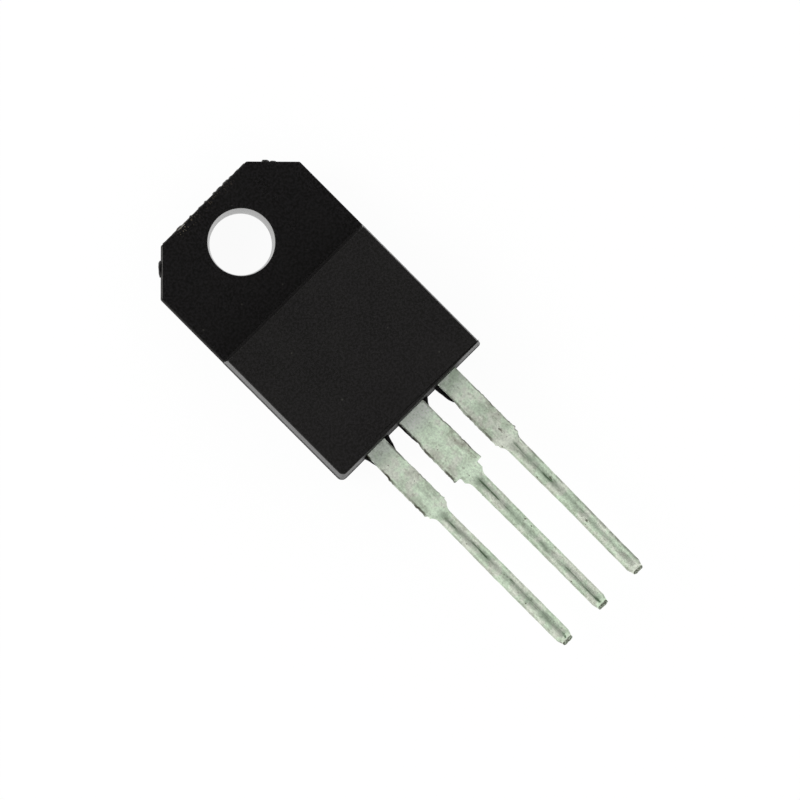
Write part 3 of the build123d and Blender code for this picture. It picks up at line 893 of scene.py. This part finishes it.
def lead_mesh(name, leads, case, materials):
    """The outer part of a lead as a closed mesh, with its masks for the tin coat."""
    facts = LEADS[name]
    seed = facts["seed"]
    lead_x = facts["place"] * leads.pitch / MM
    edge = lead_edge(leads, case, facts)
    end = edge[-1][0]
    shoulder = (leads.centre_shoulder if name == "centre" else leads.outer_shoulder) / MM
    neck_start = leads.neck_base_length / MM
    root_end = leads.root_length / MM
    thickness = (LEAD_HIGH.z - LEAD_LOW.z) / 2 / MM
    middle_z = LEAD_LOW.z / MM + thickness
    tip_start = end - leads.tip_length / MM
    foot = case.foot_y / MM
    stations = np.array([along for along, _ in edge])
    waves = [
        0.015 * wander(first, 0.16, stations) + 0.011 * wander(first + 1, 0.06, stations)
        for first in (seed, seed + 100)
    ]
    places = (neck_start + 1, (neck_start + end) / 2, end - 2)
    drift = np.interp(stations, places, facts["drift"]) + 0.07 * wander(seed + 5, 0.7, stations)
    flatness = np.interp(stations, places, facts["streak"]) + 0.35 * wander(seed + 6, 0.8, stations)
    darkness = flatness + 0.3 * wander(seed + 7, 0.4, stations)
    edge_dark = [wander(seed + 8 + side, 0.45, stations) for side in (0, 1)]
    vertices, masks, rings = [], [], []
    for index, (along, half) in enumerate(edge):
        # Where along the lead the section is, as shares from 0 to 1
        on_stub = smooth(along, root_end - 0.1, root_end + 0.3)
        on_stub *= 1 - smooth(along, shoulder, shoulder + 0.4)
        handled = smooth(along, 1.5, 2.3) * (1 - smooth(along, shoulder - 0.5, shoulder + 0.1))
        narrowed = smooth(along, neck_start - 0.1, neck_start + 0.7)
        wide = 1 - smooth(along, shoulder - 0.02, shoulder + 0.12)
        tipped = smooth(along, tip_start, end)
        ragged = 0.2 + 0.8 * on_stub
        burr = math.exp(-((along - shoulder + 0.05) / 0.07) ** 2)
        left, right = (half + waves[side][index] * ragged + facts["burrs"][side] * burr for side in (0, 1))
        high = thickness - tipped * (thickness - leads.tip_thickness / 2 / MM)
        fullness = 16 ** (1 - narrowed) * (1.95 + 0.5 * flatness[index]) ** narrowed
        ring = []
        lean = drift[index] * 0.35 * narrowed
        for x, z, sideways in section(left * (1 + lean), right * (1 - lean), high, fullness):
            # The place of the point, with small lumps
            x += lean * half - 0.028 * wide * on_stub + facts["bend"] * smooth(along, 8.5, 12.5)
            y = foot - along
            spot = Vector((x * 3.1 + seed, y * 1.5, z * 3.1))
            lump = (0.010 * noise.noise(spot) + 0.004 * noise.noise(spot * 2.9)) * (0.25 + 0.75 * narrowed)
            swell = 1 + lump / max(abs(x) + abs(z), 0.2)
            ring.append(len(vertices))
            vertices.append((lead_x + x * swell, y, middle_z + min(z * swell, thickness)))
            # Its masks, some of them painted shade: dark stamped edges with a band of painted shade beside
            # them, a painted dark reflection down the crest, and painted shade on the narrow part's flanks
            side = 0 if x < 0 else 1
            strength = facts["edges"][side] * wide + facts["narrow_edges"][side] * (1 - wide)
            reach = right if side else left
            # Painted shade: a band along the top just inside the edge, standing in for the shading of a
            # raised rim of coat
            rim = smooth(abs(x), reach - 0.10, reach - 0.045) * strength
            sheared = max(strength * smooth(sideways, 0.35, 0.8), rim)
            sheared *= 0.35 + 0.65 * smooth(float(edge_dark[side][index]), -0.5, 0.4)
            # Painted dark reflection of the dim overhead down the crest: a broad band and a narrow line,
            # moved sideways by drift
            off_centre = (x / max(half, 0.1) - drift[index]) / 0.28
            line = 0.9 * smooth(float(darkness[index]), 0.55, 0.95) * math.exp(-((off_centre * 2.6) ** 2))
            streak = narrowed * (0.45 * math.exp(-off_centre ** 2) * min(max(flatness[index], 0), 1.1) + line)
            outward = min(abs(x) / reach / 0.7, 1) ** 1.5
            tarnished = handled * (0.08 + facts["tarnish"][side] * outward)
            # Painted shade on the flanks of the narrow part, heavier on the left
            tarnished += narrowed * (0.06 if side else 0.2) * outward
            clean = smooth(along, -0.4, 0.8) * (1 - handled * (1 - facts["clean"])) * (1 - narrowed)
            rooted = 1 - smooth(along, 0.3, 1.2)
            masks.append((sheared, 0.0, rooted, streak * (1 if z > 0 else 0.5), tarnished, clean))
        rings.append(ring)
    faces = []
    for first, second in zip(rings, rings[1:]):
        for index in range(SECTION_SIDES):
            after = (index + 1) % SECTION_SIDES
            faces.append((first[index], second[index], second[after], first[after]))
    inner_end = len(vertices)
    vertices.append((lead_x, foot + 0.35, middle_z))
    masks.append((0, 0, 1, 0, 0, 0))
    for index in range(SECTION_SIDES):
        faces.append((inner_end, rings[0][index], rings[0][(index + 1) % SECTION_SIDES]))
    add_cut_end(vertices, masks, faces, rings, leads, seed)
    piece = finished("tinned_lead_" + name, vertices, faces, materials)
    for number, mask in enumerate(MASKS):
        layer = piece.data.attributes.new(mask, "FLOAT", "POINT")
        layer.data.foreach_set("value", [float(values[number]) for values in masks])
    recalculated(piece)
    return piece


def add_cut_end(vertices, masks, faces, rings, leads, seed):
    """Closes the free end of a lead with an oblique, torn cut."""
    last = rings[-1]
    slope = leads.cut_slope / MM
    depth = 0.035
    bent_rings = 15
    high = max(vertices[index][2] for index in last)
    low = min(vertices[index][2] for index in last)
    middle = np.mean([vertices[index] for index in last], axis=0)
    for row, ring in enumerate(rings[-bent_rings:]):
        for index in ring:
            x, y, z = vertices[index]
            torn = depth * noise.noise(Vector((x * 6, seed, z * 6))) + depth
            vertices[index] = (x, y + (slope * smooth(z, low, high) + torn) * (row + 1) / bent_rings, z)
    for ring, mask in zip(rings[-4:], (0.1, 0.25, 0.4, 0.6)):
        for index in ring:
            masks[index] = (0, mask, 0, 0, 0, 0)
    # Rings that shrink to the middle of the cut face. The first lies just inside its rim.
    previous = last
    for share in (0.97, 0.72, 0.42, 0.16, 0):
        ring = []
        for index in last if share else last[:1]:
            point = np.array(vertices[index]) if share else middle
            spot = middle + (point - middle) * share
            rough = noise.noise(Vector(spot) * 8.0 + Vector((seed, 0, 0)))
            along = slope * smooth(spot[2], low, high) + depth + 0.06 * rough * (1 - share)
            ring.append(len(vertices))
            vertices.append((spot[0], point[1] - 0.004 if share > 0.9 else middle[1] + along, spot[2]))
            masks.append((0, 1, 0, 0, 0, 0))
        for index in range(len(last)):
            after = (index + 1) % len(last)
            if share:
                faces.append((previous[index], ring[index], ring[after], previous[after]))
            else:
                faces.append((previous[index], ring[0], previous[after]))
        previous = ring


def inner_slug(node, cut_y):
    """The part of a CAD node that is inside the case, closed where it is cut off."""
    shape = bmesh.new()
    shape.from_mesh(frame["nodes"][node].data)
    bmesh.ops.remove_doubles(shape, verts=shape.verts, dist=1e-7)
    everything = list(shape.verts) + list(shape.edges) + list(shape.faces)
    cut = bmesh.ops.bisect_plane(
        shape, geom=everything, plane_co=(0, cut_y, 0), plane_no=(0, -1, 0), clear_outer=True, dist=1e-8
    )
    rim = [item for item in cut["geom_cut"] if isinstance(item, bmesh.types.BMEdge)]
    bmesh.ops.contextual_create(shape, geom=rim)
    bmesh.ops.triangulate(shape, faces=[face for face in shape.faces if len(face.verts) > 4])
    return shape


def join_slug(piece, node, cut_y):
    """Adds the inner part of the CAD node to a lead, in the second material."""
    slug = inner_slug(node, cut_y)
    for face in slug.faces:
        face.material_index = 1
        face.smooth = False
    extra = mesh_of(slug, node + "_inner")
    with editing(piece.data) as shape:
        shape.from_mesh(extra)
    bpy.data.meshes.remove(extra)


# ---- Flash and gate remains ----
def rough_bar(points, seed, roughness):
    """A closed ragged bar: a list of (centre, across, up, half width, half height) in millimetres."""
    vertices, faces = [], []
    for centre, across, up, half_width, half_height in points:
        for step in range(BAR_SIDES):
            turn = 2 * math.pi * step / BAR_SIDES
            x, z = math.cos(turn), math.sin(turn)
            reach = 1 / max(abs(x), abs(z)) ** 0.7
            place = centre + across * (half_width * reach * x) + up * (half_height * reach * z)
            shake = noise.noise_vector(place * 5.5 + Vector((seed, seed, 0))) * roughness
            vertices.append(place + shake)
    last_row = (len(points) - 1) * BAR_SIDES
    for row in range(0, last_row, BAR_SIDES):
        for step in range(BAR_SIDES):
            after = (step + 1) % BAR_SIDES
            faces.append((row + step, row + after, row + BAR_SIDES + after, row + BAR_SIDES + step))
    faces.append(tuple(reversed(range(BAR_SIDES))))
    faces.append(tuple(range(last_row, last_row + BAR_SIDES)))
    return vertices, faces


def joined(name, parts, material):
    """One piece from several lists of vertices and faces."""
    vertices, faces = [], []
    for part_vertices, part_faces in parts:
        offset = len(vertices)
        vertices += part_vertices
        faces += [tuple(index + offset for index in face) for face in part_faces]
    piece = finished(name, vertices, faces, [material], smooth=False)
    recalculated(piece)
    return piece


SIDEWAYS, ENDWAYS, UPWARDS = Vector((1, 0, 0)), Vector((0, 1, 0)), Vector((0, 0, 1))


def gate_bar(case):
    """The gate scar: a torn strip across the end of the tab."""
    top = case.parting_height / MM
    end = case.end_y / MM
    half_length, sections = 2.9, 160
    rows = []
    for x in np.linspace(-half_length, half_length, sections):
        torn = smooth(x, -2.05, -1.75) * (1 - smooth(x, 1.8, 2.1))
        bite = smooth(float(wander(41, 0.15, [x])[0]), -0.5, 0.6)
        drop = 0.05 + (0.28 + 0.1 * float(wander(43, 0.3, [x])[0])) * torn
        proud = 0.004 + 0.010 * bite + 0.036 * bite * torn
        rows.append((Vector((x, end - 0.03, top - drop - 0.03)), ENDWAYS, UPWARDS, 0.03 + proud, drop))
    return rough_bar(rows, 5.0, 0.012)


def nub_bars(case):
    """Broken nubs of flash on the two cut corners of the tab."""
    cut = case.corner_cut / MM
    corner_x = CASE_HIGH.x / MM - cut
    bars = []
    # The side of the tab, the nub's length, its place along the cut corner, and a seed
    for sign, span, share, seed in ((-1, 0.86, 0.42, 2.0), (1, 0.4, 0.36, 8.0), (1, 0.3, 0.5, 9.0)):
        along = Vector((sign, -1, 0)).normalized()
        outward = Vector((sign, 1, 0)).normalized()
        corner = Vector((sign * corner_x, case.end_y / MM, case.parting_height / MM - 0.2))
        middle = corner + along * (share * cut * math.sqrt(2))
        reach = 0.085 if share < 0.5 else 0.03
        rows = []
        for place in np.linspace(-0.5, 0.5, 12):
            size = (1 - abs(2 * place) ** 4 * 0.9) * (1 - 0.5 * place)
            centre = middle + along * (place * span) + outward * (reach * size * 0.3 - 0.03)
            rows.append((centre, outward, UPWARDS, 0.03 + reach * 0.6 * size, 0.17 * size + 0.02))
        bars.append(rough_bar(rows, seed, 0.02))
    return bars


def wedge_bars(case, leads):
    """Wedges of flash in the angle between the case and the leads."""
    outer = leads.outer_root_width / 2 / MM
    centre_half = leads.centre_root_width / 2 / MM
    pitch = leads.pitch / MM
    foot = case.foot_y / MM
    middle_z = case.parting_height / MM + 0.3
    # Lead place, half width, side, width at the case, length, and how quickly the wedge narrows
    wedges = (
        (-pitch, outer, -1, 0.18, 0.7, 1.2), (-pitch, outer, 1, 0.27, 0.8, 0.9),
        (0, centre_half, -1, 0.1, 1.3, 0.3), (0, centre_half, 1, 0.3, 0.5, 1.8),
        (pitch, outer, -1, 0.25, 1.15, 0.45),
    )
    bars = []
    for number, (lead_x, half_width, sign, width, span, power) in enumerate(wedges):
        rows = []
        for share in np.linspace(-0.12, 1, 24):
            reach = width * (1 - max(share, 0)) ** power + 0.012
            centre = Vector((lead_x + sign * (half_width + reach / 2 - 0.02), foot - share * span, middle_z))
            rows.append((centre, SIDEWAYS * sign, UPWARDS, reach / 2, 0.26 - 0.12 * max(share, 0)))
        bars.append(rough_bar(rows, 13.0 + number, 0.02))
    return bars


# ---- Operators ----
class BuildCase(bpy.types.Operator):
    """Builds the moulded epoxy case with its screw hole and ejector marks"""

    bl_idname = "rectifier.build_case"
    bl_label = "Moulded Case"

    def execute(self, context):
        case, _ = rectifier()
        piece = placed("case_body", mesh_of(case_shape(case), "case_body"))
        self.cut(piece, case)
        weigh_edges(piece.data, case)
        rounding = piece.modifiers.new("rounding", "BEVEL")
        rounding.limit_method = "WEIGHT"
        rounding.width = case.front_radius
        rounding.segments = 4
        rounding.harden_normals = True
        rounding.use_clamp_overlap = False
        shaded(piece, True)
        baked(piece)
        piece.data.materials.append(epoxy())
        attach(piece, "root")
        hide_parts("moulded_case")
        return {"FINISHED"}

    def cut(self, piece, case):
        """Cuts the screw hole and the ejector marks."""
        land_radius = HOLE["dims"]["r_mm"] * MM
        land_top = HOLE["dims"]["length_mm"] * MM
        front_radius = case.hole_diameter / 2
        hole = [
            (-MM, land_radius), (land_top, land_radius), (case.parting_height, front_radius),
            (case.parting_height + MM, front_radius),
        ]
        mark = [(-MM, MARK_RADIUS), (MARK_DEPTH, MARK_RADIUS)]
        cutters = [turned_cutter("hole_cutter", hole)]
        cutters += [turned_cutter("ejector_cutter", mark, x, y, MARK_SIDES) for x, y in MARK_PLACES]
        for cutter in cutters:
            difference = piece.modifiers.new("cut", "BOOLEAN")
            difference.object = cutter
            difference.operation = "DIFFERENCE"
            difference.solver = "EXACT"
        baked(piece)
        for cutter in cutters:
            bpy.data.objects.remove(cutter)


class BuildPartingFlash(bpy.types.Operator):
    """Builds the fine ragged line of flash round the parting plane"""

    bl_idname = "rectifier.build_parting_flash"
    bl_label = "Parting Flash"

    def execute(self, context):
        case, _ = rectifier()
        outline = outline_strip(case)
        z = (case.parting_height - case.flash_height) / MM
        mesh = bpy.data.meshes.new("parting_flash")
        lines = [(index, index + 1) for index in range(len(outline) - 1)]
        mesh.from_pydata([(x * MM, y * MM, z * MM) for x, y in outline], lines, [])
        piece = placed("parting_flash", mesh)
        grow(piece, flash_tree(), {
            "Height": case.flash_height * 1.9, "Unevenness": 0.22, "Material": epoxy(),
        })
        shaded(piece, False)
        recalculated(piece)
        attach(piece, "root")
        return {"FINISHED"}


class BuildMouldRemains(bpy.types.Operator):
    """Builds the gate scar, the broken nubs of flash and the wedges of flash beside the leads"""

    bl_idname = "rectifier.build_mould_remains"
    bl_label = "Gate Scar and Flash"

    def execute(self, context):
        case, leads = rectifier()
        for name, bars in (
            ("gate_scar", [gate_bar(case)]), ("flash_nubs", nub_bars(case)),
            ("lead_flash", wedge_bars(case, leads)),
        ):
            piece = joined(name, bars, epoxy())
            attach(piece, "root")
        return {"FINISHED"}


class BuildLeads(bpy.types.Operator):
    """Builds the three solder-dipped leads with their inner ends"""

    bl_idname = "rectifier.build_leads"
    bl_label = "Leads"

    def execute(self, context):
        case, leads = rectifier()
        coats = [tin_material(case, leads), bare_copper()]
        for name, facts in LEADS.items():
            piece = lead_mesh(name, leads, case, coats)
            join_slug(piece, facts["node"], case.foot_y + INNER_START)
            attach(piece, "root")
            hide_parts(facts["node"])
        return {"FINISHED"}


class ScatterSpecks(bpy.types.Operator):
    """Scatters small specks of flux over the leads outside the case"""

    bl_idname = "rectifier.scatter_specks"
    bl_label = "Flux Specks"

    def execute(self, context):
        case, leads = rectifier()
        flux = shared("flux_residue", lambda: flux_material(leads))
        tree = speck_tree()
        first_y = case.foot_y - 1.0 * MM
        last_y = LEAD_LOW.y + 0.8 * MM
        for name, facts in LEADS.items():
            mesh = bpy.data.objects["tinned_lead_" + name].data.copy()
            with editing(mesh) as shape:
                bare = [face for face in shape.faces if not last_y < face.calc_center_median().y < first_y]
                bmesh.ops.delete(shape, geom=bare, context="FACES")
            piece = placed("flux_specks_" + name, mesh)
            grow(piece, tree, {
                "Density": leads.speck_count * 1e5, "Smallest": 0.000012, "Largest": 0.000038,
                "Seed": facts["seed"], "Material": flux,
            })
            recalculated(piece)
            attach(piece, "root")
        return {"FINISHED"}


class DressInnerPieces(bpy.types.Operator):
    """Gives the chips, the clips and the solder inside the case their finishes"""

    bl_idname = "rectifier.dress_inner_pieces"
    bl_label = "Chips, Clips and Solder"

    def execute(self, context):
        solder = metal_material(
            "soft_solder", (0.60, 0.60, 0.61), (0.40, 0.40, 0.42), roughness=0.3, patch=0.00022,
            pit_share=0.25, depth=0.00001,
        )
        finishes = {
            "schottky_die": silicon_material(), "die_solder": solder, "clip_to_chip": solder,
            "clip_to_lead": solder, "contact_clip": bare_copper(), "moulded_case": epoxy(),
            "cathode_frame": bare_copper(), "anode_lead": bare_copper(),
        }
        for name, node in frame["nodes"].items():
            finish = next(finish for start, finish in finishes.items() if name.startswith(start))
            if not node.data.materials:
                node.data.materials.append(finish)
            for slot in node.material_slots:
                slot.material = finish
        return {"FINISHED"}


class BuildStage(bpy.types.Operator):
    """Builds the floor, the light tent, the lamp and the camera"""

    bl_idname = "rectifier.build_stage"
    bl_label = "Floor, Light and Camera"

    def execute(self, context):
        stage = context.scene.rectifier_stage
        self.floor(stage)
        self.tent(context, stage)
        self.camera(context, stage)
        context.scene.view_settings.view_transform = "Standard"
        return {"FINISHED"}

    def floor(self, stage):
        """A white floor that glows where it is seen, and keeps a little of the part's shadow."""
        shape = bmesh.new()
        bmesh.ops.create_circle(shape, cap_ends=True, segments=64, radius=stage.floor_radius)
        mesh = mesh_of(shape, "floor")
        for vertex in mesh.vertices:
            vertex.co.z = -0.00001
        floor = placed("floor", mesh)
        material, tree, shader, _ = start_material("white_light_table")
        tree.give(shader, {
            "Base Color": (*stage.floor_colour, 1), "Roughness": 0.9, "Specular IOR Level": 0.2,
        })
        rays = tree.put("ShaderNodeLightPath").outputs
        seen = tree.maths("ADD", rays["Is Camera Ray"], rays["Is Glossy Ray"], clamp=True)
        seen = tree.maths("ADD", seen, rays["Is Transmission Ray"], clamp=True)
        glow = tree.put("ShaderNodeEmission", {"Color": (1, 1, 1, 1), "Strength": 1.01})
        mixed = tree.put(
            "ShaderNodeMixShader", {0: tree.times(seen, 0.94), 1: shader.outputs[0], 2: glow.outputs[0]}
        )
        tree.give(tree.data.nodes["Material Output"], {"Surface": mixed.outputs[0]})
        mesh.materials.append(material)

    def tent(self, context, stage):
        """A bright tent that is open and dim overhead, and a soft lamp."""
        world = bpy.data.worlds.new("light_tent")
        world.use_nodes = True
        tree = Tree(world.node_tree)
        _, _, up = tree.axes(tree.put("ShaderNodeTexCoord").outputs["Generated"])
        wall = tree.ramp(up, 0.70, 0.95, stage.dome, stage.zenith)
        seen = tree.put("ShaderNodeLightPath").outputs["Is Camera Ray"]
        strength = tree.put("ShaderNodeMix", {0: seen, 2: wall, 3: 1.0}, data_type="FLOAT").outputs[0]
        tree.give(tree.data.nodes["Background"], {"Color": (1, 1, 1, 1), "Strength": strength})
        context.scene.world = world
        lamp = bpy.data.lights.new("soft_lamp", "AREA")
        lamp.shape = "DISK"
        lamp.size = 0.25
        lamp.energy = 0.55
        holder = placed("soft_lamp", lamp)
        holder.location = Vector((-0.22, 0.26, 0.30))
        aim = Vector((0, -0.008, 0))
        holder.rotation_euler = (holder.location - aim).to_track_quat("Z", "Y").to_euler()

    def camera(self, context, stage):
        across, along = stage.tilt_across, stage.tilt_along
        away = Vector(
            (math.sin(across) * math.cos(along), -math.sin(along), math.cos(across) * math.cos(along))
        )
        up = (Vector((0, 1, 0)) - away * away.y).normalized()
        right = up.cross(away)
        turned_up = up * math.cos(stage.roll) + right * math.sin(stage.roll)
        turned_right = turned_up.cross(away)
        lens = bpy.data.cameras.new("camera")
        lens.lens = stage.lens
        lens.clip_start = 0.01
        lens.clip_end = 10
        camera = placed("camera", lens)
        camera.matrix_world = Matrix.Translation(Vector(stage.target) + away * stage.distance) @ Matrix(
            (turned_right, turned_up, away)
        ).transposed().to_4x4()
        context.scene.camera = camera


STEPS = (
    BuildCase, BuildPartingFlash, BuildMouldRemains, BuildLeads, ScatterSpecks, DressInnerPieces, BuildStage
)
SETTINGS = {
    "rectifier_case": CaseSettings, "rectifier_leads": LeadSettings, "rectifier_stage": StageSettings
}


class RectifierPanel(bpy.types.Panel):
    """Sizes, colours and steps of the rectifier"""

    bl_idname = "VIEW3D_PT_rectifier"
    bl_label = "Rectifier"
    bl_space_type = "VIEW_3D"
    bl_region_type = "UI"
    bl_category = "Rectifier"

    def draw(self, context):
        for step in STEPS:
            self.layout.operator(step.bl_idname)
        for group in SETTINGS:
            settings = getattr(context.scene, group)
            box = self.layout.box()
            for name in settings.__annotations__:
                box.prop(settings, name)


def register():
    for group in (*SETTINGS.values(), *STEPS, RectifierPanel):
        bpy.utils.register_class(group)
    for name, group in SETTINGS.items():
        setattr(bpy.types.Scene, name, PointerProperty(type=group))


def unregister():
    for name in SETTINGS:
        delattr(bpy.types.Scene, name)
    for group in (RectifierPanel, *reversed(STEPS), *SETTINGS.values()):
        bpy.utils.unregister_class(group)


def main():
    register()
    noise.seed_set(NOISE_SEED)
    for step in STEPS:
        prefix, name = step.bl_idname.split(".")
        getattr(getattr(bpy.ops, prefix), name)()


if __name__ == "__main__":
    main()
